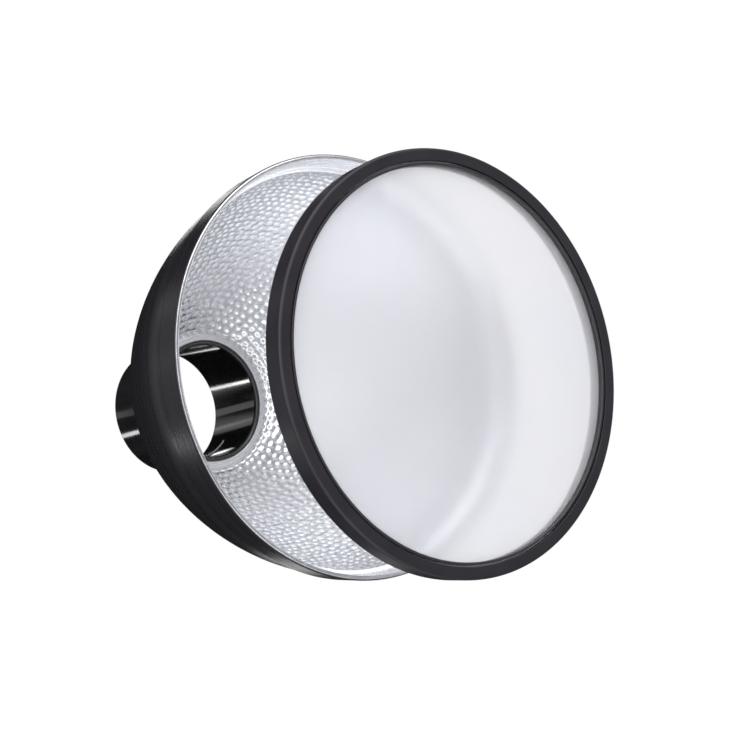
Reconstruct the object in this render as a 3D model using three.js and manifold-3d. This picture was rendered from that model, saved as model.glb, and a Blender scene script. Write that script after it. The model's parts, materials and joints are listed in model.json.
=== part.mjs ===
// Bowl-type flash reflector with a push-in diffuser cap.
// Millimetres, +Z up. The optical axis is the Y axis: the neck's rear end is at the origin and the mouth faces -Y.

import * as THREE from "three";
import { mergeVertices } from "three/addons/utils/BufferGeometryUtils.js";
import Module from "manifold-3d";

// ---- driving dimensions ---------------------------------------------------------------------------------------

const GAP = 0.3; // left between pieces that touch
const TURN_STEPS = 64; // sides of every turned piece, a multiple of four so that the axes meet corners
const BOWL_STEPS = 12; // stretches along the bowl's curve
const FILLET_STEPS = 4; // stretches along each small rounding
const CAPSULE_RINGS = 5; // rings in each round end of a pressed bead
const CAPSULE_SIDES = 12;
const WELD_DISTANCE = 1e-4; // corners closer than this are one corner

const MOUTH_RADIUS = 62.5; // outside of the folded hem
const SHEET = 1.0; // thickness of the spun aluminium
const HEM_WIDTH = 1.4; // the hem across its front face
const HEM_DEPTH = 9.0; // the sheet is folded back this far over its outside
const HEM_BACK_RADIUS = 61.6;
const HEM_BACK_SLOPE = 1.5; // depth over which the fold runs out on to the bowl
const HEM_BREAK = 0.3; // bevels on the hem's front edges
const HEM_ROUNDING = 0.5; // depth of the bevel on its outside
const LIP_DEPTH = 6.0; // smooth conical lip that takes the cap
const LIP_BOTTOM_RADIUS = 60.05; // inside of the lip at its step
const STEP_WIDTH = 1.2; // how far the step narrows the bowl
const STEP_DEPTH = 1.5;
const BOWL_DEPTH = 72.8; // mouth plane to the front edge of the neck
const BOWL_SWELL = 2.2; // how far the curve's first handle leans outwards
const BOWL_SWELL_REACH = 0.2; // its reach, as a share of the curve's depth
const BOWL_SHOULDER = 22.3; // how far the curve's last handle stands outside the neck seat
const BOWL_SHOULDER_REACH = 0.259;

const NECK_BORE_RADIUS = 18.7; // at the neck's rear end
const NECK_FRONT_BORE_RADIUS = 17.5; // the neck tapers towards the bowl
const NECK_WALL = 1.0;
const NECK_LENGTH = 24.3;
const CURL_RADIUS = 19.1; // outside of the neck's curled front edge
const CURL_THICKNESS = 0.7;
const CURL_ROUNDING = 0.9; // rounding where the bore turns into the curled edge
const SEAT_RADIUS = 22.3; // flat ring of the bowl round its neck hole
const SHOULDER_RADIUS = 20.7; // rolled bead behind the bowl
const SHOULDER_WIDTH = 1.6;

const BAYONET_COUNT = 2;
const BAYONET_LENGTH = 8.4;
const BAYONET_WIDTH = 1.7;
const BAYONET_CENTRE_Y = -7.6;
const BAYONET_ANGLE = -41; // degrees round the bore from +X of the first bead
const BAYONET_SLANT = 19; // degrees that a bead leans out of the plane across the bore
const BAYONET_SINK = 0.05; // the bead's centre line lies this far inside the bore's wall
const BAYONET_DENT_WIDTH = 1.3; // matching dent pressed in the neck's outside
const BAYONET_DENT_LIFT = 0.1; // the dent's centre line lies this far off the outside

const CAP_FRONT_RADIUS = 60.45;
const CAP_BACK_RADIUS = 59.8;
const CAP_DEPTH = 7.2;
const CAP_FILLET = 0.9; // outer edge of the front face
const CAP_BEVEL = 0.4; // outer edge of the back face
const CAP_PULLED_OUT = 45.8; // mouth plane to the cap's front face, at rest
const CAP_DROP = 6.0; // how far below the axis the pulled-out cap is held
const CAP_MOUTH_RADIUS = 56.75; // front opening of the rubber ring
const CAP_MOUTH_BEVEL = 0.25;
const CAP_MOUTH_DEPTH = 1.2; // the opening's straight stretch, before the pocket widens
const POCKET_SLOPE = 0.5;
const POCKET_RADIUS = 57.5; // undercut that holds the disc
const FLANGE_RADIUS = 55.6; // opening behind the disc
const FLANGE_FRONT = 3.8; // flange's depth behind the ring's front face

const RETAINER_OUTER_RADIUS = 56.25;
const RETAINER_INNER_RADIUS = 55.45;
const RETAINER_DEPTH = 1.6;
const RETAINER_INSET = 0.1;
const RETAINER_BEVEL = 0.2;

const DISC_RADIUS = 57.2;
const DISC_THICKNESS = 1.5;

// ---- places along the axis ------------------------------------------------------------------------------------

const NECK_FRONT_Y = -NECK_LENGTH;
const MOUTH_Y = NECK_FRONT_Y - BOWL_DEPTH;
const SEAT_Y = NECK_FRONT_Y + CURL_THICKNESS + GAP; // inside face of the bowl's flat ring
const CAP_FRONT_Y = MOUTH_Y - CAP_PULLED_OUT;
const DISC_FRONT_Y = CAP_FRONT_Y + RETAINER_INSET + RETAINER_DEPTH + GAP;

// ---- materials ------------------------------------------------------------------------------------------------

function finish(color, roughness, metalness, opacity = 1) {
  return new THREE.MeshStandardMaterial({ color, roughness, metalness, opacity, transparent: opacity < 1 });
}

// ---- solids ---------------------------------------------------------------------------------------------------

// Turns a closed outline, x out from the axis and y along it, round the Y axis. The faces of the result point out
// when the outline runs counterclockwise.
function turn(outline) {
  const points = outline.getPoints(FILLET_STEPS);
  const closed = points[0].distanceTo(points[points.length - 1]) < WELD_DISTANCE;
  if (!closed) {
    points.push(points[0].clone());
  }
  if (THREE.ShapeUtils.isClockWise(points)) {
    points.reverse();
  }
  return new THREE.LatheGeometry(points, TURN_STEPS);
}

const wasm = await Module();
wasm.setup();

function toSolid(geometry) {
  const bare = geometry.clone();
  bare.deleteAttribute("normal");
  bare.deleteAttribute("uv");
  const welded = mergeVertices(bare, WELD_DISTANCE);
  return new wasm.Manifold(
    new wasm.Mesh({
      numProp: 3,
      vertProperties: new Float32Array(welded.attributes.position.array),
      triVerts: new Uint32Array(welded.index.array),
    })
  );
}

function toGeometry(solid) {
  const mesh = solid.getMesh();
  const geometry = new THREE.BufferGeometry();
  geometry.setAttribute("position", new THREE.BufferAttribute(mesh.vertProperties, 3));
  geometry.setIndex(new THREE.BufferAttribute(mesh.triVerts, 1));
  geometry.computeVertexNormals();
  return geometry;
}

// ---- bowl -----------------------------------------------------------------------------------------------------

// Inside of the bowl behind the step, from the step to the flat ring round the neck.
function bowlInside() {
  const start = new THREE.Vector2(LIP_BOTTOM_RADIUS - STEP_WIDTH, MOUTH_Y + LIP_DEPTH + STEP_DEPTH);
  const end = new THREE.Vector2(SEAT_RADIUS, SEAT_Y);
  const depth = end.y - start.y;
  const leaveStep = new THREE.Vector2(start.x + BOWL_SWELL, start.y + depth * BOWL_SWELL_REACH);
  const meetNeck = new THREE.Vector2(end.x + BOWL_SHOULDER, end.y - depth * BOWL_SHOULDER_REACH);
  return new THREE.CubicBezierCurve(start, leaveStep, meetNeck, end).getPoints(BOWL_STEPS);
}

// The same curve, one sheet thickness further out along its normals.
function offsetOutward(points, distance) {
  return points.map((point, i) => {
    const before = points[Math.max(i - 1, 0)];
    const after = points[Math.min(i + 1, points.length - 1)];
    const along = after.clone().sub(before).normalize();
    return new THREE.Vector2(point.x + along.y * distance, point.y - along.x * distance);
  });
}

// Radius of a polyline of (radius, y) points at a given y.
function radiusAt(points, y) {
  const i = points.findIndex((point) => point.y > y);
  return THREE.MathUtils.mapLinear(y, points[i - 1].y, points[i].y, points[i - 1].x, points[i].x);
}

function bowlGeometry() {
  const holeRadius = NECK_FRONT_BORE_RADIUS + NECK_WALL + GAP;
  const inside = bowlInside();
  const outside = offsetOutward(inside, SHEET);
  const lipTopRadius = MOUTH_RADIUS - HEM_WIDTH;
  const foldBack = MOUTH_Y + HEM_DEPTH;
  const clearOfFold = outside.filter((point) => point.y > foldBack + HEM_BACK_SLOPE).reverse();
  const outline = new THREE.Shape();
  outline.moveTo(lipTopRadius + HEM_BREAK, MOUTH_Y);
  outline.lineTo(lipTopRadius, MOUTH_Y + HEM_BREAK);
  outline.lineTo(LIP_BOTTOM_RADIUS, MOUTH_Y + LIP_DEPTH);
  inside.forEach((point) => outline.lineTo(point.x, point.y));
  outline.lineTo(holeRadius, SEAT_Y);
  outline.lineTo(holeRadius, SEAT_Y + SHEET);
  clearOfFold.forEach((point) => outline.lineTo(point.x, Math.min(point.y, SEAT_Y + SHEET)));
  outline.lineTo(radiusAt(outside, foldBack + HEM_BACK_SLOPE), foldBack + HEM_BACK_SLOPE);
  outline.lineTo(HEM_BACK_RADIUS, foldBack);
  outline.lineTo(MOUTH_RADIUS, MOUTH_Y + HEM_ROUNDING);
  outline.lineTo(MOUTH_RADIUS - HEM_BREAK, MOUTH_Y);
  outline.closePath();
  return turn(outline);
}

// ---- neck -----------------------------------------------------------------------------------------------------

function boreRadiusAt(y) {
  return THREE.MathUtils.mapLinear(y, 0, NECK_FRONT_Y, NECK_BORE_RADIUS, NECK_FRONT_BORE_RADIUS);
}

function neckTube() {
  const frontBore = NECK_FRONT_BORE_RADIUS;
  const frontOuter = frontBore + NECK_WALL;
  const shoulderFront = SEAT_Y + SHEET + GAP;
  const shoulderBack = shoulderFront + SHOULDER_WIDTH;
  const outline = new THREE.Shape();
  outline.moveTo(NECK_BORE_RADIUS, 0);
  outline.lineTo(frontBore, NECK_FRONT_Y + CURL_ROUNDING);
  outline.quadraticCurveTo(frontBore, NECK_FRONT_Y, frontBore + CURL_ROUNDING, NECK_FRONT_Y);
  outline.lineTo(CURL_RADIUS, NECK_FRONT_Y);
  outline.lineTo(CURL_RADIUS, NECK_FRONT_Y + CURL_THICKNESS);
  outline.lineTo(frontOuter, NECK_FRONT_Y + CURL_THICKNESS);
  outline.lineTo(frontOuter, shoulderFront);
  outline.lineTo(SHOULDER_RADIUS, shoulderFront);
  outline.lineTo(SHOULDER_RADIUS, shoulderFront + SHOULDER_WIDTH / 2);
  outline.lineTo(boreRadiusAt(shoulderBack) + NECK_WALL, shoulderBack);
  outline.lineTo(NECK_BORE_RADIUS + NECK_WALL, 0);
  outline.closePath();
  return turn(outline);
}

// A capsule laid on the wall of the bore, leaning out of the plane across it.
function bayonetBead(index, radiusFromAxis, width) {
  const capsule = new THREE.CapsuleGeometry(width / 2, BAYONET_LENGTH - width, CAPSULE_RINGS, CAPSULE_SIDES);
  const around = THREE.MathUtils.degToRad(BAYONET_ANGLE) + (index * 2 * Math.PI) / BAYONET_COUNT;
  const outward = new THREE.Vector3(Math.cos(around), 0, Math.sin(around));
  const across = new THREE.Vector3(-Math.sin(around), 0, Math.cos(around));
  const slant = THREE.MathUtils.degToRad(BAYONET_SLANT);
  const along = across.multiplyScalar(Math.cos(slant)).add(new THREE.Vector3(0, -Math.sin(slant), 0));
  const side = new THREE.Vector3().crossVectors(along, outward);
  const place = new THREE.Matrix4().makeBasis(side, along, outward);
  place.setPosition(outward.x * radiusFromAxis, BAYONET_CENTRE_Y, outward.z * radiusFromAxis);
  capsule.applyMatrix4(place);
  return toSolid(capsule);
}

function neckGeometry() {
  const bore = boreRadiusAt(BAYONET_CENTRE_Y);
  let neck = toSolid(neckTube());
  for (let i = 0; i < BAYONET_COUNT; i += 1) {
    neck = neck.add(bayonetBead(i, bore - BAYONET_SINK, BAYONET_WIDTH));
    neck = neck.subtract(bayonetBead(i, bore + NECK_WALL + BAYONET_DENT_LIFT, BAYONET_DENT_WIDTH));
  }
  return toGeometry(neck);
}

// ---- cap ------------------------------------------------------------------------------------------------------

function capRingGeometry() {
  const back = CAP_FRONT_Y + CAP_DEPTH;
  const flange = CAP_FRONT_Y + FLANGE_FRONT;
  const outline = new THREE.Shape();
  outline.moveTo(CAP_MOUTH_RADIUS + CAP_MOUTH_BEVEL, CAP_FRONT_Y);
  outline.lineTo(CAP_MOUTH_RADIUS, CAP_FRONT_Y + CAP_MOUTH_BEVEL);
  outline.lineTo(CAP_MOUTH_RADIUS, CAP_FRONT_Y + CAP_MOUTH_DEPTH);
  outline.lineTo(POCKET_RADIUS, CAP_FRONT_Y + CAP_MOUTH_DEPTH + POCKET_SLOPE);
  outline.lineTo(POCKET_RADIUS, flange);
  outline.lineTo(FLANGE_RADIUS, flange);
  outline.lineTo(FLANGE_RADIUS, back);
  outline.lineTo(CAP_BACK_RADIUS - CAP_BEVEL, back);
  outline.lineTo(CAP_BACK_RADIUS, back - CAP_BEVEL);
  outline.lineTo(CAP_FRONT_RADIUS, CAP_FRONT_Y + CAP_FILLET);
  outline.quadraticCurveTo(CAP_FRONT_RADIUS, CAP_FRONT_Y, CAP_FRONT_RADIUS - CAP_FILLET, CAP_FRONT_Y);
  outline.closePath();
  return turn(outline);
}

function retainerGeometry() {
  const front = CAP_FRONT_Y + RETAINER_INSET;
  const outline = new THREE.Shape();
  outline.moveTo(RETAINER_INNER_RADIUS + RETAINER_BEVEL, front);
  outline.lineTo(RETAINER_INNER_RADIUS, front + RETAINER_BEVEL);
  outline.lineTo(RETAINER_INNER_RADIUS, front + RETAINER_DEPTH);
  outline.lineTo(RETAINER_OUTER_RADIUS, front + RETAINER_DEPTH);
  outline.lineTo(RETAINER_OUTER_RADIUS, front + RETAINER_BEVEL);
  outline.lineTo(RETAINER_OUTER_RADIUS - RETAINER_BEVEL, front);
  outline.closePath();
  return turn(outline);
}

function discGeometry() {
  const disc = new THREE.CylinderGeometry(DISC_RADIUS, DISC_RADIUS, DISC_THICKNESS, TURN_STEPS);
  disc.translate(0, DISC_FRONT_Y + DISC_THICKNESS / 2, 0);
  return disc;
}

// ---- assembly -------------------------------------------------------------------------------------------------

function piece(name, geometry, material) {
  const mesh = new THREE.Mesh(geometry, material);
  mesh.name = name;
  return mesh;
}

const reflector = new THREE.Group();
reflector.add(piece("bowl_shell", bowlGeometry(), finish(0x8d8f94, 0.35, 0.9)));
reflector.add(piece("neck_collar", neckGeometry(), finish(0x141416, 0.18, 0.6)));

const cap = new THREE.Group();
cap.position.z = -CAP_DROP;
cap.add(piece("cap_ring", capRingGeometry(), finish(0x2b2a2e, 0.62, 0)));
cap.add(piece("disc_retainer", retainerGeometry(), finish(0x1c1b1e, 0.4, 0)));
cap.add(piece("diffuser_disc", discGeometry(), finish(0xf2f2f6, 0.55, 0, 0.85)));

const object = new THREE.Group();
object.add(reflector, cap);

export default object;
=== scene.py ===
"""Looks of a bowl-type flash reflector with its frosted diffuser cap held in front of the mouth.

Lengths are in metres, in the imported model's frame: the reflector's axis is Y, and its mouth faces -Y.
An outline is an array of points (radius, y), which is turned round the Y axis to make a piece.
"""

import json
import math
import random

import bmesh
import bpy
import numpy as np
from mathutils import Matrix, Vector, kdtree


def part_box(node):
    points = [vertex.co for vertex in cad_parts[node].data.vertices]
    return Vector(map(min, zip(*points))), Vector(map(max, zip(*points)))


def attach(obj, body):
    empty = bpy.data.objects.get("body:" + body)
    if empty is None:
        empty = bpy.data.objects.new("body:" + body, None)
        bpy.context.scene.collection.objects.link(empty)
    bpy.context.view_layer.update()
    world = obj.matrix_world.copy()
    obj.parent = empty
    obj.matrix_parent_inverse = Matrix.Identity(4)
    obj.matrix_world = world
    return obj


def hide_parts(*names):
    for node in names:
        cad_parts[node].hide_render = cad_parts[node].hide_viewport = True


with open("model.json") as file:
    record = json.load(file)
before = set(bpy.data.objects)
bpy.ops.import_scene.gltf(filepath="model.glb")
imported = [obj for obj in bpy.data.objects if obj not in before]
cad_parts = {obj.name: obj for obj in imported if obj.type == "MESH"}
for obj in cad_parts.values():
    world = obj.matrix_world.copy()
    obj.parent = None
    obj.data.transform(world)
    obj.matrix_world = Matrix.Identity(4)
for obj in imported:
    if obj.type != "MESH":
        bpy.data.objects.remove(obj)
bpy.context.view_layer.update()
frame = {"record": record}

MM = 0.001

# ---- sizes from the frame --------------------------------------------------------------------------

BOWL_LOW, BOWL_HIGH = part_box("bowl_shell")
NECK_LOW, NECK_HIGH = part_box("neck_collar")
RING_LOW, RING_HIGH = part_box("cap_ring")
RETAINER_LOW, RETAINER_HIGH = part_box("disc_retainer")
DISC_LOW, DISC_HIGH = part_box("diffuser_disc")
MOUNTS = {mount["name"]: mount for mount in frame["record"]["mounts"]}

MOUTH_RADIUS = BOWL_HIGH.x
MOUTH_Y = BOWL_LOW.y
BOWL_BACK_Y = BOWL_HIGH.y
HEM_MIDDLE_RADIUS = MOUNTS["mouth_rim"]["pos_m"][0]
SHOULDER_RADIUS = NECK_HIGH.x
NECK_FRONT_Y = NECK_LOW.y
NECK_BACK_Y = NECK_HIGH.y
NECK_MIDDLE_RADIUS = MOUNTS["neck_end"]["pos_m"][0]
RING_RADIUS = RING_HIGH.x
RING_FRONT_Y = RING_LOW.y
RING_BACK_Y = RING_HIGH.y
RETAINER_RADIUS = RETAINER_HIGH.x
DISC_RADIUS = DISC_HIGH.x
CAP_CENTRE_Z = (RING_LOW.z + RING_HIGH.z) / 2

# ---- sheet, walls and edges ------------------------------------------------------------------------

GAP = 0.3 * MM
SHEET = 1.0 * MM
SEAT_Y = BOWL_BACK_Y - SHEET
SEAT_RADIUS = 22.3 * MM

# The sheet is folded back over its own outside at the mouth. The hem's front is rounded, with a fine
# groove inside the rounding, and the outside's lacquer laps a little way over it. The groove's edges are
# measured outwards from the lip.
HEM_WIDTH = 2 * (MOUTH_RADIUS - HEM_MIDDLE_RADIUS)
HEM_DEPTH = 9.0 * MM
HEM_BACK_RADIUS = 61.6 * MM
HEM_BACK_SLOPE = 1.5 * MM
HEM_ROUNDING = 0.69 * MM
LACQUER_LAP = 0.27 * MM
GROOVE_OUTER_EDGE = 0.42 * MM
GROOVE_INNER_EDGE = 0.22 * MM
GROOVE_DEPTH = 0.3 * MM
LIP_SETBACK = 0.05 * MM

LIP_TOP_RADIUS = MOUTH_RADIUS - HEM_WIDTH
LIP_DEPTH = 6.0 * MM
LIP_BOTTOM_RADIUS = 60.05 * MM
STEP_WIDTH = 1.2 * MM
STEP_DEPTH = 1.5 * MM
BOWL_SWELL = 2.2 * MM
BOWL_SWELL_REACH = 0.2
BOWL_SHOULDER = 22.3 * MM
BOWL_SHOULDER_REACH = 0.259

NECK_WALL = 1.0 * MM
NECK_BORE_RADIUS = NECK_MIDDLE_RADIUS - NECK_WALL / 2
NECK_FRONT_BORE_RADIUS = 17.5 * MM
HOLE_RADIUS = NECK_FRONT_BORE_RADIUS + NECK_WALL + GAP
CURL_RADIUS = 19.1 * MM
CURL_THICKNESS = 0.7 * MM
SHOULDER_WIDTH = 1.6 * MM

# Slanted beads pressed into the neck's bore. The crest is the share of a bead's width that is level, and
# the neck has closely spaced rings as far as BEAD_REACH before and behind the beads' middle.
BEAD_COUNT = 2
BEAD_LENGTH = 8.4 * MM
BEAD_WIDTH = 2.8 * MM
BEAD_HEIGHT = 0.4 * MM
BEAD_CREST = 0.25
BEAD_REACH = 3.2 * MM
BEAD_RINGS = 28
BEAD_CENTRE_Y = NECK_BACK_Y - 7.6 * MM
BEAD_ANGLE = math.radians(-41)
BEAD_SLANT = math.radians(19)

# The cap's ring narrows towards its back, where it goes into the lip. Its opening leads back into a
# pocket, which holds the retainer and the disc against a flange.
RING_BACK_RADIUS = RING_RADIUS - 0.65 * MM
RING_MIDDLE_RADIUS = RING_RADIUS - 0.33 * MM
RING_OPENING_RADIUS = 56.75 * MM
RING_OPENING_DEPTH = 1.2 * MM
RING_POCKET_RADIUS = 57.5 * MM
RING_POCKET_SLOPE = 0.5 * MM
RING_FLANGE_RADIUS = 55.6 * MM
RING_FLANGE_FRONT = 3.8 * MM
RING_CHAMFER = 2.2 * MM
RETAINER_INNER_RADIUS = 55.45 * MM
DISC_CENTRE_RADIUS = 0.5 * MM

# Dimples all over the inside, which is meshed finely enough to carry them. The reach and the unevenness
# are shares of the spacing.
DIMPLE_PITCH = 2.75 * MM
DIMPLE_DEPTH = 0.30 * MM
DIMPLE_REACH = 0.62
DIMPLE_UNEVENNESS = 0.17
HAMMERED_START = 1.6 * MM
HAMMERED_END_RADIUS = 20.1 * MM
HAMMERED_FADE = 0.6 * MM
HAMMERED_MESH = 0.52 * MM
DIMPLE_SEED = 7

SMOOTH_SIDES = 360
NECK_SIDES = 480

# ---- outlines --------------------------------------------------------------------------------------


def rounded_path(corners, steps=6):
    """An open path through corners (radius, y, rounding), where each rounding becomes an arc."""
    points = []
    for i, (radius, y, rounding) in enumerate(corners):
        corner = np.array((radius, y))
        if rounding == 0:
            points.append(corner)
            continue
        back = unit(np.array(corners[i - 1][:2]) - corner)
        ahead = unit(np.array(corners[i + 1][:2]) - corner)
        half_angle = math.acos(back @ ahead) / 2
        centre = corner + unit(back + ahead) * rounding / math.sin(half_angle)
        first = corner + back * rounding / math.tan(half_angle) - centre
        last = corner + ahead * rounding / math.tan(half_angle) - centre
        for share in np.linspace(0, 1, steps + 1):
            points.append(centre + rounding * unit(first * (1 - share) + last * share))
    return np.array(points)


def unit(vector):
    return vector / np.linalg.norm(vector)


def cubic_curve(start, leave, arrive, end, count=400):
    t = np.linspace(0, 1, count)[:, None]
    start, leave, arrive, end = (np.array(point) for point in (start, leave, arrive, end))
    return start * (1 - t) ** 3 + 3 * leave * t * (1 - t) ** 2 + 3 * arrive * t**2 * (1 - t) + end * t**3


def lengths_along(path):
    steps = np.linalg.norm(np.diff(path, axis=0), axis=1)
    return np.concatenate([[0], np.cumsum(steps)])


def spaced(path, spacing):
    """The same path, with its points an even distance of about spacing apart."""
    lengths = lengths_along(path)
    at = np.linspace(0, lengths[-1], int(lengths[-1] / spacing) + 2)
    return np.column_stack([np.interp(at, lengths, path[:, 0]), np.interp(at, lengths, path[:, 1])])


def right_normals(path):
    """Unit normals of a path, on the right of somebody walking along it."""
    along = np.gradient(path, axis=0)
    along /= np.linalg.norm(along, axis=1)[:, None]
    return np.column_stack([along[:, 1], -along[:, 0]])


# ---- turned meshes ---------------------------------------------------------------------------------


class TurnedMesh:
    """Gathers rings of corners from the outline's start to its end, then closes them into one skin."""

    def __init__(self, centre_z=0.0):
        self.centre = np.array((0.0, 0.0, centre_z))
        self.rings = []
        self.slots = []
        self.pressed = []

    def add(self, path, slot, sides=SMOOTH_SIDES, push=None):
        """One ring for each point of path.

        push(ring, around, i) may move the corners of ring i. It gives them back with how far each is
        pressed, from 0 to 1, which materials read as the attribute "pressed".
        """
        for i, (radius, y) in enumerate(path):
            count = sides(radius) if callable(sides) else sides
            angles = np.linspace(0, 2 * math.pi, count, endpoint=False)
            around = np.column_stack([np.cos(angles), np.zeros(count), np.sin(angles)])
            ring = around * radius + np.array((0.0, y, 0.0))
            pressed = np.ones(count)
            if push is not None:
                ring, pressed = push(ring, around, i)
            self.rings.append(ring + self.centre)
            self.pressed.append(pressed)
            self.slots.append(slot)
        return self

    def outline_is_clockwise(self):
        outline = np.array([(ring[0, 0], ring[0, 1]) for ring in self.rings])
        ahead = np.roll(outline, -1, axis=0)
        return np.sum(outline[:, 0] * ahead[:, 1] - ahead[:, 0] * outline[:, 1]) < 0

    def build(self, name, materials, closed=True):
        corners = np.concatenate(self.rings)
        counts = [len(ring) for ring in self.rings]
        starts = np.cumsum([0] + counts)
        faces = []
        slots = []
        strips = len(self.rings) if closed else len(self.rings) - 1
        for i in range(strips):
            following = (i + 1) % len(self.rings)
            strip = strip_faces(starts[i], counts[i], starts[following], counts[following])
            faces += strip
            slots += [self.slots[i]] * len(strip)
        if self.outline_is_clockwise():
            faces = [face[::-1] for face in faces]
        mesh = bpy.data.meshes.new(name)
        mesh.from_pydata(corners.tolist(), [], faces)
        mesh.polygons.foreach_set("material_index", slots)
        mesh.polygons.foreach_set("use_smooth", [True] * len(faces))
        pressed = mesh.attributes.new("pressed", "FLOAT", "POINT")
        pressed.data.foreach_set("value", np.concatenate(self.pressed))
        mesh.update()
        for material in materials:
            mesh.materials.append(material)
        piece = bpy.data.objects.new(name, mesh)
        bpy.context.scene.collection.objects.link(piece)
        return piece


def strip_faces(first, first_count, second, second_count):
    """Faces between two rings of corners, which may differ in how many corners they have."""
    if first_count == second_count:
        return [
            (
                first + i,
                second + i,
                second + (i + 1) % second_count,
                first + (i + 1) % first_count,
            )
            for i in range(first_count)
        ]
    faces = []
    i = 0
    j = 0
    while i < first_count or j < second_count:
        on_first = first + i % first_count
        on_second = second + j % second_count
        if (i + 1) * second_count <= (j + 1) * first_count:
            i += 1
            faces.append((on_first, on_second, first + i % first_count))
        else:
            j += 1
            faces.append((on_first, on_second, second + j % second_count))
    return faces


def finish_piece(piece, body, node):
    flats = piece.modifiers.new("keep_flats_flat", "WEIGHTED_NORMAL")
    flats.weight = 80
    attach(piece, body)
    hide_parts(node)
    return piece


# ---- materials -------------------------------------------------------------------------------------


class Surface:
    """A Principled material, and short ways to wire procedural detail into it."""

    def __init__(self, name, **sockets):
        self.material = bpy.data.materials.new(name)
        self.material.use_nodes = True
        self.tree = self.material.node_tree
        self.shader = self.tree.nodes["Principled BSDF"]
        for socket, value in sockets.items():
            self.shader.inputs[socket.replace("_", " ")].default_value = value
        self.place = self.add("ShaderNodeTexCoord").outputs["Object"]

    def add(self, kind, **settings):
        node = self.tree.nodes.new(kind)
        for key, value in settings.items():
            setattr(node, key, value)
        return node

    def link(self, source, target):
        self.tree.links.new(source, target)

    def stretched(self, x, y, z):
        """The place on the object, with each axis scaled, so that noise draws out along the small ones."""
        mapping = self.add("ShaderNodeMapping")
        mapping.inputs["Scale"].default_value = (x, y, z)
        self.link(self.place, mapping.inputs["Vector"])
        return mapping.outputs["Vector"]

    def rings(self):
        """(distance from the Y axis, y, 0), which stays the same all the way round a turned piece."""
        split = self.add("ShaderNodeSeparateXYZ")
        self.link(self.place, split.inputs[0])
        across = self.add("ShaderNodeCombineXYZ")
        self.link(split.outputs["X"], across.inputs["X"])
        self.link(split.outputs["Z"], across.inputs["Y"])
        length = self.add("ShaderNodeVectorMath", operation="LENGTH")
        self.link(across.outputs[0], length.inputs[0])
        joined = self.add("ShaderNodeCombineXYZ")
        self.link(length.outputs["Value"], joined.inputs["X"])
        self.link(split.outputs["Y"], joined.inputs["Y"])
        return joined.outputs[0]

    def noise(self, place, scale, detail=3.0):
        noise = self.add("ShaderNodeTexNoise")
        noise.inputs["Scale"].default_value = scale
        noise.inputs["Detail"].default_value = detail
        self.link(place, noise.inputs["Vector"])
        return noise.outputs["Fac"]

    def pressed(self):
        """How far the sheet is pressed in, mottled a little so that no two dimples match. It is the mask of
        the painted shade between the dimples.
        """
        mottling = 0.25
        mean_mottling = 0.12
        attribute = self.add("ShaderNodeAttribute", attribute_name="pressed")
        mottled = self.add("ShaderNodeMath", operation="MULTIPLY_ADD")
        mottled.inputs[1].default_value = mottling
        self.link(self.noise(self.place, 120, 4), mottled.inputs[0])
        lowered = self.add("ShaderNodeMath", operation="SUBTRACT")
        lowered.inputs[1].default_value = mean_mottling
        self.link(attribute.outputs["Fac"], lowered.inputs[0])
        self.link(lowered.outputs[0], mottled.inputs[2])
        return mottled.outputs[0]

    def painted_flank_highlight(self):
        """Paints a highlight: turns the colour white half way up what is pressed in, along the beads'
        flanks.

        It changes the base colour, so colour() comes first.
        """
        black = (0, 0, 0, 1)
        white = (1, 1, 1, 1)
        attribute = self.add("ShaderNodeAttribute", attribute_name="pressed")
        flank_highlight_mask = self.add("ShaderNodeValToRGB")
        flank_highlight_mask.color_ramp.elements[0].position = 0.1
        flank_highlight_mask.color_ramp.elements[0].color = black
        flank_highlight_mask.color_ramp.elements[1].position = 0.98
        flank_highlight_mask.color_ramp.elements[1].color = black
        flank_highlight_mask.color_ramp.elements.new(0.6).color = white
        self.link(attribute.outputs["Fac"], flank_highlight_mask.inputs["Fac"])
        # A Mix node has a Factor, A, B and Result for each kind of data, so they go by number. These are
        # the ones for colours.
        highlight_mix = self.add("ShaderNodeMix", data_type="RGBA")
        factor, lacquer, highlight_colour = (highlight_mix.inputs[i] for i in (0, 6, 7))
        base = self.shader.inputs["Base Color"]
        highlight_colour.default_value = white
        self.link(flank_highlight_mask.outputs["Color"], factor)
        self.link(base.links[0].from_socket, lacquer)
        self.link(highlight_mix.outputs[2], base)

    def colour(self, by, low, high):
        ramp = self.add("ShaderNodeValToRGB")
        for element, position, rgb in zip(ramp.color_ramp.elements, (0.3, 0.7), (low, high)):
            element.position = position
            element.color = (*rgb, 1)
        self.link(by, ramp.inputs["Fac"])
        self.link(ramp.outputs["Color"], self.shader.inputs["Base Color"])

    def roughness(self, by, low, high):
        spread = self.add("ShaderNodeMapRange")
        spread.inputs["From Min"].default_value = 0.3
        spread.inputs["From Max"].default_value = 0.7
        spread.inputs["To Min"].default_value = low
        spread.inputs["To Max"].default_value = high
        self.link(by, spread.inputs["Value"])
        self.link(spread.outputs["Result"], self.shader.inputs["Roughness"])

    def bump(self, height, depth, strength=1.0):
        """Adds a bump to those already there."""
        bump = self.add("ShaderNodeBump")
        bump.inputs["Strength"].default_value = strength
        bump.inputs["Distance"].default_value = depth
        self.link(height, bump.inputs["Height"])
        normal = self.shader.inputs["Normal"]
        if normal.is_linked:
            self.link(normal.links[0].from_socket, bump.inputs["Normal"])
        self.link(bump.outputs["Normal"], normal)


def hammered_silver():
    surface = Surface("hammered_silver", Metallic=1.0)
    # Painted shade: the colour darkens towards the ridges between the dimples, where the sheet is least
    # pressed.
    surface.colour(surface.pressed(), (0.77, 0.78, 0.805), (0.965, 0.967, 0.975))
    surface.roughness(surface.noise(surface.place, 240), 0.20, 0.28)
    surface.bump(surface.noise(surface.place, 1500), 0.02 * MM, 0.1)
    return surface.material


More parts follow.
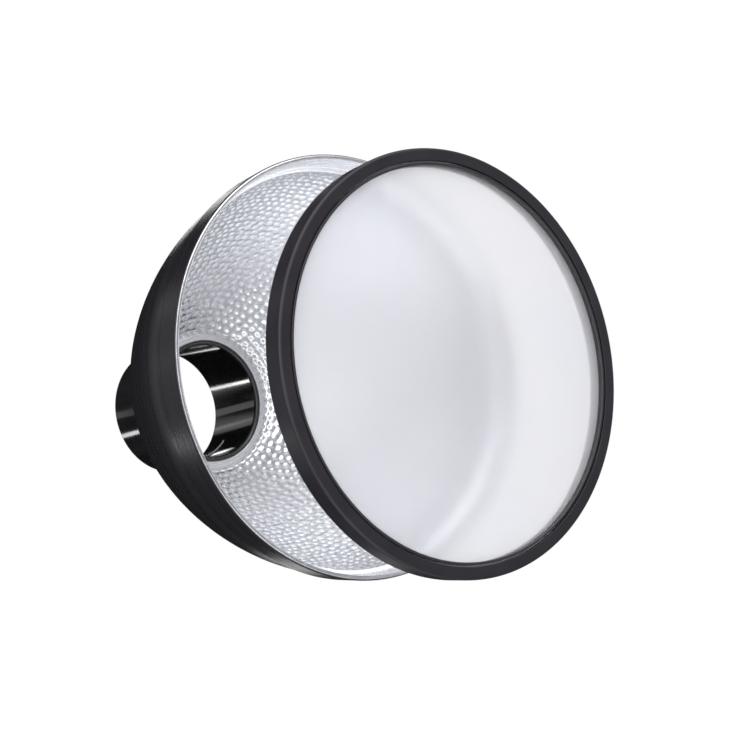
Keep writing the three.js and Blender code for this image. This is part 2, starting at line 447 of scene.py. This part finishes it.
def spun_silver():
    """Plain turned aluminium, with fine rings left by the spinning tool."""
    surface = Surface("spun_silver", Metallic=1.0)
    rings = surface.noise(surface.rings(), 2600, 2)
    surface.colour(surface.noise(surface.place, 45), (0.91, 0.915, 0.935), (0.94, 0.94, 0.955))
    surface.roughness(rings, 0.18, 0.32)
    surface.bump(rings, 0.02 * MM, 0.2)
    return surface.material


def bare_edge():
    surface = Surface("bare_edge", Metallic=1.0)
    wear = surface.noise(surface.place, 300, 4)
    surface.colour(wear, (0.80, 0.81, 0.84), (0.93, 0.93, 0.94))
    surface.roughness(wear, 0.16, 0.34)
    surface.bump(wear, 0.01 * MM, 0.3)
    return surface.material


def satin_black():
    """Black lacquer over the rings of the spun sheet."""
    surface = Surface("satin_black_lacquer", Specular_IOR_Level=0.28)
    place = surface.rings()
    broad = surface.noise(place, 420)
    surface.colour(broad, (0.0100, 0.0092, 0.0112), (0.0180, 0.0166, 0.0198))
    surface.roughness(broad, 0.24, 0.32)
    surface.bump(surface.noise(place, 2100, 2), 0.02 * MM, 0.12)
    surface.bump(broad, 0.05 * MM, 0.08)
    return surface.material


def gloss_black():
    surface = Surface("gloss_black_lacquer", Specular_IOR_Level=1.0)
    drawn = surface.noise(surface.stretched(1, 0.12, 1), 260)
    surface.colour(drawn, (0.006, 0.006, 0.007), (0.011, 0.0105, 0.012))
    surface.roughness(drawn, 0.09, 0.14)
    surface.bump(drawn, 0.02 * MM, 0.1)
    # Painted highlight: the flanks of the beads in the bore are coloured white.
    surface.painted_flank_highlight()
    return surface.material


def black_rubber():
    surface = Surface("black_rubber", Specular_IOR_Level=0.30)
    blotches = surface.noise(surface.place, 70, 4)
    surface.colour(blotches, (0.0128, 0.0115, 0.0150), (0.0192, 0.0174, 0.0222))
    surface.roughness(blotches, 0.34, 0.44)
    surface.bump(surface.noise(surface.place, 2200), 0.02 * MM, 0.4)
    surface.bump(blotches, 0.04 * MM, 0.3)
    return surface.material


def black_plastic():
    surface = Surface("black_plastic")
    grain = surface.noise(surface.place, 1200)
    surface.colour(grain, (0.014, 0.0135, 0.015), (0.024, 0.0235, 0.026))
    surface.roughness(grain, 0.28, 0.40)
    surface.bump(grain, 0.02 * MM, 0.2)
    return surface.material


def frosted_plastic():
    surface = Surface("frosted_plastic", IOR=1.46, Transmission_Weight=0.68)
    surface.colour(surface.noise(surface.place, 26), (0.905, 0.91, 0.945), (0.93, 0.93, 0.95))
    surface.roughness(surface.noise(surface.place, 1800), 0.17, 0.22)
    surface.bump(surface.noise(surface.place, 1800), 0.01 * MM, 0.2)
    return surface.material


# ---- bowl ------------------------------------------------------------------------------------------

HAMMERED, SPUN, BARE, LACQUERED = range(4)


def wall_path():
    """The hammered inside of the bowl, from the step behind the lip to close round the neck."""
    start = (LIP_BOTTOM_RADIUS - STEP_WIDTH, MOUTH_Y + LIP_DEPTH + STEP_DEPTH)
    end = (SEAT_RADIUS, SEAT_Y)
    depth = end[1] - start[1]
    leave = (start[0] + BOWL_SWELL, start[1] + depth * BOWL_SWELL_REACH)
    arrive = (end[0] + BOWL_SHOULDER, end[1] - depth * BOWL_SHOULDER_REACH)
    curve = cubic_curve(start, leave, arrive, end)
    return np.vstack([curve, (HAMMERED_END_RADIUS, SEAT_Y)])


def lip_radius(depth):
    """Inside radius of the conical lip, so far behind the mouth."""
    return LIP_TOP_RADIUS + (LIP_BOTTOM_RADIUS - LIP_TOP_RADIUS) * depth / LIP_DEPTH


def dimple_centres(wall):
    """Rows of dimples round the bowl, each half a dimple out of step with the last, all a little uneven."""
    draw = random.Random(DIMPLE_SEED)
    lengths = lengths_along(wall)
    row_spacing = DIMPLE_PITCH * math.sqrt(3) / 2
    centres = []
    at = HAMMERED_START
    while at < lengths[-1]:
        radius = np.interp(at, lengths, wall[:, 0])
        count = round(2 * math.pi * radius / DIMPLE_PITCH)
        turn = draw.random()
        for i in range(count):
            share = (i + turn + draw.uniform(-DIMPLE_UNEVENNESS, DIMPLE_UNEVENNESS)) / count
            along = at + draw.uniform(-DIMPLE_UNEVENNESS, DIMPLE_UNEVENNESS) * row_spacing
            radius = np.interp(along, lengths, wall[:, 0])
            y = np.interp(along, lengths, wall[:, 1])
            angle = 2 * math.pi * share
            centres.append((radius * math.cos(angle), y, radius * math.sin(angle)))
        at += row_spacing
    return centres


def smooth_rise(value, start, end):
    share = np.clip((value - start) / (end - start), 0, 1)
    return share * share * (3 - 2 * share)


def hammer_for(wall):
    """A push for TurnedMesh.add that presses shallow dishes into the rings of wall."""
    centres = dimple_centres(wall)
    tree = kdtree.KDTree(len(centres))
    for i, centre in enumerate(centres):
        tree.insert(centre, i)
    tree.balance()
    lengths = lengths_along(wall)
    strength = smooth_rise(lengths, 0, HAMMERED_START)
    strength *= 1 - smooth_rise(lengths, lengths[-1] - HAMMERED_FADE, lengths[-1])
    normals = right_normals(wall)
    reach = DIMPLE_PITCH * DIMPLE_REACH

    def push(ring, around, i):
        distances = np.array([tree.find(corner)[2] for corner in ring])
        dish = 0.5 + 0.5 * np.cos(math.pi * np.minimum(distances / reach, 1))
        into_sheet = around * normals[i, 0] + np.array((0.0, normals[i, 1], 0.0))
        pressed = 1 - strength[i] * (1 - dish)
        return ring + into_sheet * (DIMPLE_DEPTH * strength[i] * dish)[:, None], pressed

    return push


def wall_sides(radius):
    return int(2 * math.pi * radius / HAMMERED_MESH)


def make_bowl():
    wall = spaced(wall_path(), HAMMERED_MESH * math.sqrt(3) / 2)
    fold_back = MOUTH_Y + HEM_DEPTH
    # The outside runs from the back to the hem. It is plain, so every fifth ring is enough.
    outside = wall + right_normals(wall) * SHEET
    outside = outside[outside[:, 1] > fold_back + HEM_BACK_SLOPE][::-5]
    roll_middle = MOUTH_Y + HEM_WIDTH / 2
    lacquer_edge = MOUTH_RADIUS - LACQUER_LAP
    groove_outer = LIP_TOP_RADIUS + GROOVE_OUTER_EDGE
    groove_inner = LIP_TOP_RADIUS + GROOVE_INNER_EDGE
    lip_middle = MOUTH_Y + LIP_DEPTH / 2

    hem_outside = rounded_path([
        (*outside[-1], 0),
        (outside[-1][0] + 0.02 * MM, fold_back + HEM_BACK_SLOPE, 0.3 * MM),
        (HEM_BACK_RADIUS, fold_back, 0.7 * MM),
        (MOUTH_RADIUS, roll_middle, 0),
    ])
    roll = rounded_path([
        (MOUTH_RADIUS, roll_middle, 0),
        (MOUTH_RADIUS, MOUTH_Y, HEM_ROUNDING),
        (groove_outer, MOUTH_Y, 0),
    ], steps=10)
    lip_edge = rounded_path([
        (groove_outer, MOUTH_Y, 0),
        (groove_outer - 0.02 * MM, MOUTH_Y + GROOVE_DEPTH, 0.05 * MM),
        (groove_inner + 0.02 * MM, MOUTH_Y + GROOVE_DEPTH, 0.05 * MM),
        (groove_inner, MOUTH_Y + LIP_SETBACK, 0.05 * MM),
        (lip_radius(0), MOUTH_Y + LIP_SETBACK, 0.12 * MM),
        (lip_radius(LIP_DEPTH / 2), lip_middle, 0),
    ])
    step = rounded_path([
        (lip_radius(LIP_DEPTH / 2), lip_middle, 0),
        (LIP_BOTTOM_RADIUS, MOUTH_Y + LIP_DEPTH, 0.6 * MM),
        (*wall[0], 0.4 * MM),
        (*wall[1], 0),
    ], steps=8)
    seat = rounded_path([
        (*wall[-2], 0),
        (HOLE_RADIUS, SEAT_Y, 0.25 * MM),
        (HOLE_RADIUS, (SEAT_Y + BOWL_BACK_Y) / 2, 0),
    ])
    back = rounded_path([
        (HOLE_RADIUS, (SEAT_Y + BOWL_BACK_Y) / 2, 0),
        (HOLE_RADIUS, BOWL_BACK_Y, 0.25 * MM),
        (SEAT_RADIUS + 0.3 * MM, BOWL_BACK_Y, 0.5 * MM),
        (*outside[1], 0),
    ])

    lacquered = int(np.argmax(roll[:, 0] < lacquer_edge))
    shell = TurnedMesh()
    shell.add(roll[:lacquered], LACQUERED)
    shell.add(roll[lacquered:-1], BARE)
    shell.add(lip_edge[:-1], SPUN)
    shell.add(step[:-1], SPUN)
    shell.add(wall[1:-2], HAMMERED, sides=wall_sides, push=hammer_for(wall[1:-2]))
    shell.add(seat[:-1], SPUN)
    shell.add(back[:-1], LACQUERED)
    shell.add(outside[1:-1], LACQUERED)
    shell.add(hem_outside[:-1], LACQUERED)
    piece = shell.build("bowl", [hammered_silver(), spun_silver(), bare_edge(), satin_black()])
    finish_piece(piece, "reflector", "bowl_shell")


# ---- neck ------------------------------------------------------------------------------------------


def bore_radius(y):
    """The neck tapers from its rear end to the bowl."""
    share = (y - NECK_BACK_Y) / (NECK_FRONT_Y - NECK_BACK_Y)
    return NECK_BORE_RADIUS + (NECK_FRONT_BORE_RADIUS - NECK_BORE_RADIUS) * share


def bead_rise(ring, around):
    """How far each corner of a ring lies up the pressed beads, from 0 off them to 1 along their backs."""
    angles = np.arctan2(around[:, 2], around[:, 0])
    rise = np.zeros(len(ring))
    for i in range(BEAD_COUNT):
        centre = BEAD_ANGLE + 2 * math.pi * i / BEAD_COUNT
        turned = (angles - centre + math.pi) % (2 * math.pi) - math.pi
        across = turned * bore_radius(BEAD_CENTRE_Y)
        back = ring[:, 1] - BEAD_CENTRE_Y
        along = across * math.cos(BEAD_SLANT) - back * math.sin(BEAD_SLANT)
        aside = across * math.sin(BEAD_SLANT) + back * math.cos(BEAD_SLANT)
        past_end = np.maximum(np.abs(along) - (BEAD_LENGTH - BEAD_WIDTH) / 2, 0)
        distance = np.hypot(past_end, aside) / (BEAD_WIDTH / 2)
        rise = np.maximum(rise, 1 - smooth_rise(distance, BEAD_CREST, 1.0))
    return rise


def press_beads(ring, around, _):
    rise = bead_rise(ring, around)
    # The pressed value, 1 - rise, places the painted highlight on the flanks.
    return ring - around * (BEAD_HEIGHT * rise)[:, None], 1 - rise


def press_dents(ring, around, _):
    """The beads' dents in the neck's outside, which get no painted highlight."""
    rise = bead_rise(ring, around)
    return ring - around * (BEAD_HEIGHT * rise)[:, None], np.ones(len(ring))


def make_neck():
    bead_front = BEAD_CENTRE_Y - BEAD_REACH
    bead_back = BEAD_CENTRE_Y + BEAD_REACH
    shoulder_front = BOWL_BACK_Y + GAP
    shoulder_back = shoulder_front + SHOULDER_WIDTH
    curl_back = NECK_FRONT_Y + CURL_THICKNESS
    front_outer = NECK_FRONT_BORE_RADIUS + NECK_WALL
    front = rounded_path([
        (bore_radius(bead_front), bead_front, 0),
        (NECK_FRONT_BORE_RADIUS, NECK_FRONT_Y, 1.05 * MM),
        (CURL_RADIUS, NECK_FRONT_Y, 0.3 * MM),
        (CURL_RADIUS, curl_back, 0.3 * MM),
        (front_outer, curl_back, 0.15 * MM),
        (front_outer, shoulder_front, 0.1 * MM),
        (SHOULDER_RADIUS, shoulder_front, 0.4 * MM),
        (SHOULDER_RADIUS, shoulder_back, 0.5 * MM),
        (bore_radius(shoulder_back) + NECK_WALL, shoulder_back, 0.3 * MM),
        (bore_radius(bead_front) + NECK_WALL, bead_front, 0),
    ], steps=8)
    rear = rounded_path([
        (bore_radius(bead_back) + NECK_WALL, bead_back, 0),
        (NECK_BORE_RADIUS + NECK_WALL, NECK_BACK_Y, 0.25 * MM),
        (NECK_BORE_RADIUS, NECK_BACK_Y, 0.25 * MM),
        (bore_radius(bead_back), bead_back, 0),
    ])
    tube = TurnedMesh()
    tube.add(front[:-1], 0, NECK_SIDES)
    tube.add(np.linspace(front[-1], rear[0], BEAD_RINGS)[:-1], 0, NECK_SIDES, press_dents)
    tube.add(rear[:-1], 0, NECK_SIDES)
    tube.add(np.linspace(rear[-1], front[0], BEAD_RINGS)[:-1], 0, NECK_SIDES, press_beads)
    piece = tube.build("neck", [gloss_black()])
    finish_piece(piece, "reflector", "neck_collar")


# ---- diffuser cap ----------------------------------------------------------------------------------


def make_cap_ring():
    middle = (RING_FRONT_Y + RING_BACK_Y) / 2
    outline = rounded_path([
        (RING_MIDDLE_RADIUS, middle, 0),
        (RING_RADIUS, RING_FRONT_Y, 0.9 * MM),
        (RING_OPENING_RADIUS, RING_FRONT_Y, 0.22 * MM),
        (RING_OPENING_RADIUS, RING_FRONT_Y + RING_OPENING_DEPTH, 0),
        (RING_POCKET_RADIUS, RING_FRONT_Y + RING_OPENING_DEPTH + RING_POCKET_SLOPE, 0),
        (RING_POCKET_RADIUS, RING_FRONT_Y + RING_FLANGE_FRONT, 0.1 * MM),
        (RING_FLANGE_RADIUS, RING_FRONT_Y + RING_FLANGE_FRONT, 0.2 * MM),
        (RING_FLANGE_RADIUS, RING_BACK_Y - RING_CHAMFER, 0.4 * MM),
        (RING_FLANGE_RADIUS + RING_CHAMFER / 2, RING_BACK_Y, 0.3 * MM),
        (RING_BACK_RADIUS, RING_BACK_Y, 0.4 * MM),
        (RING_MIDDLE_RADIUS, middle, 0),
    ])
    ring = TurnedMesh(CAP_CENTRE_Z).add(outline[:-1], 0)
    piece = ring.build("rubber_ring", [black_rubber()])
    finish_piece(piece, "diffuser_cap", "cap_ring")


def make_retainer():
    outline = rounded_path([
        (RETAINER_RADIUS, (RETAINER_LOW.y + RETAINER_HIGH.y) / 2, 0),
        (RETAINER_RADIUS, RETAINER_LOW.y, 0.2 * MM),
        (RETAINER_INNER_RADIUS, RETAINER_LOW.y, 0.35 * MM),
        (RETAINER_INNER_RADIUS, RETAINER_HIGH.y, 0.15 * MM),
        (RETAINER_RADIUS, RETAINER_HIGH.y, 0.15 * MM),
        (RETAINER_RADIUS, (RETAINER_LOW.y + RETAINER_HIGH.y) / 2, 0),
    ])
    ring = TurnedMesh(CAP_CENTRE_Z).add(outline[:-1], 0)
    piece = ring.build("retaining_ring", [black_plastic()])
    finish_piece(piece, "diffuser_cap", "disc_retainer")


def make_disc():
    outline = rounded_path([
        (DISC_CENTRE_RADIUS, DISC_LOW.y, 0),
        (DISC_RADIUS / 2, DISC_LOW.y, 0),
        (DISC_RADIUS, DISC_LOW.y, 0.25 * MM),
        (DISC_RADIUS, DISC_HIGH.y, 0.25 * MM),
        (DISC_RADIUS / 2, DISC_HIGH.y, 0),
        (DISC_CENTRE_RADIUS, DISC_HIGH.y, 0),
    ])
    disc = TurnedMesh(CAP_CENTRE_Z).add(outline, 0)
    piece = disc.build("frosted_disc", [frosted_plastic()], closed=False)
    close_centre_holes(piece.data)
    finish_piece(piece, "diffuser_cap", "diffuser_disc")


def close_centre_holes(mesh):
    """Fills the small holes that a turned disc's outline leaves round the axis."""
    skin = bmesh.new()
    skin.from_mesh(mesh)
    bmesh.ops.holes_fill(skin, edges=skin.edges, sides=SMOOTH_SIDES)
    bmesh.ops.recalc_face_normals(skin, faces=skin.faces)
    skin.to_mesh(mesh)
    skin.free()


# ---- floor, lights and camera ----------------------------------------------------------------------

# How bright the surroundings are, at two values of Y in the direction looked in.
STUDIO_FRONT = (0.10, (0.92, 0.92, 0.955))
STUDIO_BACK = (0.50, (0.010, 0.010, 0.011))

# How much of that brightness there is straight down and up, and to the left and right.
STUDIO_DOWN = 0.55
STUDIO_UP = 1.05
STUDIO_LEFT = 1.45
STUDIO_RIGHT = 0.45

FLOOR_Z = -1.2
FLOOR_SIDE = 2.0
TARGET = Vector((0, RING_FRONT_Y, 0))
CAMERA_AZIMUTH = -38.14
CAMERA_ELEVATION = -11.0
CAMERA_DISTANCE = 0.7189
CAMERA_LENS = 128.2
CAMERA_AIM_RIGHT = -25.1 * MM
CAMERA_AIM_UP = -6.8 * MM


def make_floor():
    side = FLOOR_SIDE / 2
    mesh = bpy.data.meshes.new("floor")
    signs = [(-1, -1), (1, -1), (1, 1), (-1, 1)]
    corners = [(x * side, y * side, FLOOR_Z) for x, y in signs]
    mesh.from_pydata(corners, [], [(0, 1, 2, 3)])
    floor = bpy.data.objects.new("floor", mesh)
    bpy.context.scene.collection.objects.link(floor)
    surface = Surface("pale_floor")
    surface.colour(surface.noise(surface.place, 3), (0.80, 0.80, 0.80), (0.83, 0.83, 0.83))
    surface.roughness(surface.noise(surface.place, 5), 0.6, 0.7)
    mesh.materials.append(surface.material)


def make_world():
    """White to the camera. The object reflects a white studio in front of it and a dark one behind."""
    world = bpy.data.worlds.new("studio")
    bpy.context.scene.world = world
    world.use_nodes = True
    tree = world.node_tree
    seen = tree.nodes["Background"]
    seen.inputs["Color"].default_value = (1, 1, 1, 1)
    reflected = tree.nodes.new("ShaderNodeBackground")
    place = tree.nodes.new("ShaderNodeTexCoord")
    split = tree.nodes.new("ShaderNodeSeparateXYZ")
    rise = tree.nodes.new("ShaderNodeMapRange")
    rise.inputs["From Min"].default_value = -1
    ramp = tree.nodes.new("ShaderNodeValToRGB")
    for element, (position, colour) in zip(ramp.color_ramp.elements, (STUDIO_FRONT, STUDIO_BACK)):
        element.position = (position + 1) / 2
        element.color = (*colour, 1)
    upward = tree.nodes.new("ShaderNodeMapRange")
    sideways = tree.nodes.new("ShaderNodeMapRange")
    for spread, low, high in ((upward, STUDIO_DOWN, STUDIO_UP), (sideways, STUDIO_LEFT, STUDIO_RIGHT)):
        spread.inputs["From Min"].default_value = -1
        spread.inputs["To Min"].default_value = low
        spread.inputs["To Max"].default_value = high
    both = tree.nodes.new("ShaderNodeMath")
    both.operation = "MULTIPLY"
    path = tree.nodes.new("ShaderNodeLightPath")
    mix = tree.nodes.new("ShaderNodeMixShader")
    tree.links.new(place.outputs["Generated"], split.inputs[0])
    tree.links.new(split.outputs["Y"], rise.inputs["Value"])
    tree.links.new(rise.outputs["Result"], ramp.inputs["Fac"])
    tree.links.new(ramp.outputs["Color"], reflected.inputs["Color"])
    tree.links.new(split.outputs["Z"], upward.inputs["Value"])
    tree.links.new(split.outputs["X"], sideways.inputs["Value"])
    tree.links.new(upward.outputs["Result"], both.inputs[0])
    tree.links.new(sideways.outputs["Result"], both.inputs[1])
    tree.links.new(both.outputs[0], reflected.inputs["Strength"])
    tree.links.new(path.outputs["Is Camera Ray"], mix.inputs["Fac"])
    tree.links.new(reflected.outputs[0], mix.inputs[1])
    tree.links.new(seen.outputs[0], mix.inputs[2])
    tree.links.new(mix.outputs[0], tree.nodes["World Output"].inputs["Surface"])


def direction_from(azimuth, elevation):
    """Unit vector towards a camera or light. Azimuth 0 is in front of the mouth, and -90 on its -X side."""
    a = math.radians(azimuth)
    e = math.radians(elevation)
    return Vector((math.sin(a) * math.cos(e), -math.cos(a) * math.cos(e), math.sin(e)))


def make_light(name, azimuth, elevation, width, height, radiance, in_gloss=True):
    """A soft box a metre from the middle of the bowl. It measures width by height, in metres.

    Seen directly, a radiance of 1 is white.
    """
    data = bpy.data.lights.new(name, "AREA")
    data.shape = "RECTANGLE"
    data.size = width
    data.size_y = height
    data.energy = radiance * math.pi * width * height
    light = bpy.data.objects.new(name, data)
    aim = Vector((0, (BOWL_LOW.y + BOWL_HIGH.y) / 2, 0))
    towards = direction_from(azimuth, elevation)
    light.location = aim + towards
    light.rotation_euler = towards.to_track_quat("Z", "Y").to_euler()
    light.visible_camera = False
    light.visible_glossy = in_gloss
    bpy.context.scene.collection.objects.link(light)


def make_lights():
    # Light through the disc from behind, then broad soft light from the front.
    make_light("backdrop", 145, 9, 0.55, 0.55, 0.98, in_gloss=False)
    make_light("left", -70, 5, 1.5, 1.5, 1.4)
    make_light("above", -20, 60, 1.1, 1.1, 1.9)
    make_light("below", -20, -60, 1.0, 1.0, 1.1)
    # Small lights behind the object. Each is mirrored as a streak in the neck's bore.
    make_light("streak_sharp", -157, -18, 0.05, 0.05, 14.0)
    make_light("streak_soft", -152.2, 6, 0.12, 0.12, 0.6)
    make_light("streak_low", -161, 23, 0.12, 0.12, 0.6)
    # The same for the outside of the neck.
    make_light("collar_sharp", -149, -24.5, 0.10, 0.06, 7.0)
    make_light("collar_soft", -145, -3, 0.12, 0.12, 0.8)
    make_light("collar_high", -141, 28, 0.12, 0.12, 0.6)
    # A tall band mirrored on the outside of the hem, then the wedges at the bore's bottom and top.
    make_light("lip_band", -159, 2, 0.16, 0.75, 0.5)
    make_light("spot_back_high", 157, 27, 0.14, 0.12, 4.0)
    make_light("spot_back_low", 150, -19, 0.12, 0.11, 3.0)


def make_camera():
    towards = direction_from(CAMERA_AZIMUTH, CAMERA_ELEVATION)
    right = Vector((0, 0, 1)).cross(towards).normalized()
    up = towards.cross(right)
    aim = TARGET + right * CAMERA_AIM_RIGHT + up * CAMERA_AIM_UP
    data = bpy.data.cameras.new("camera")
    data.lens = CAMERA_LENS
    data.sensor_width = 36.0
    data.clip_start = 0.01
    camera = bpy.data.objects.new("camera", data)
    place = Matrix((right, up, towards)).transposed().to_4x4()
    place.translation = aim + towards * CAMERA_DISTANCE
    camera.matrix_world = place
    bpy.context.scene.collection.objects.link(camera)
    bpy.context.scene.camera = camera


bpy.context.scene.view_settings.view_transform = "Standard"
make_bowl()
make_neck()
make_cap_ring()
make_retainer()
make_disc()
make_floor()
make_world()
make_lights()
make_camera()
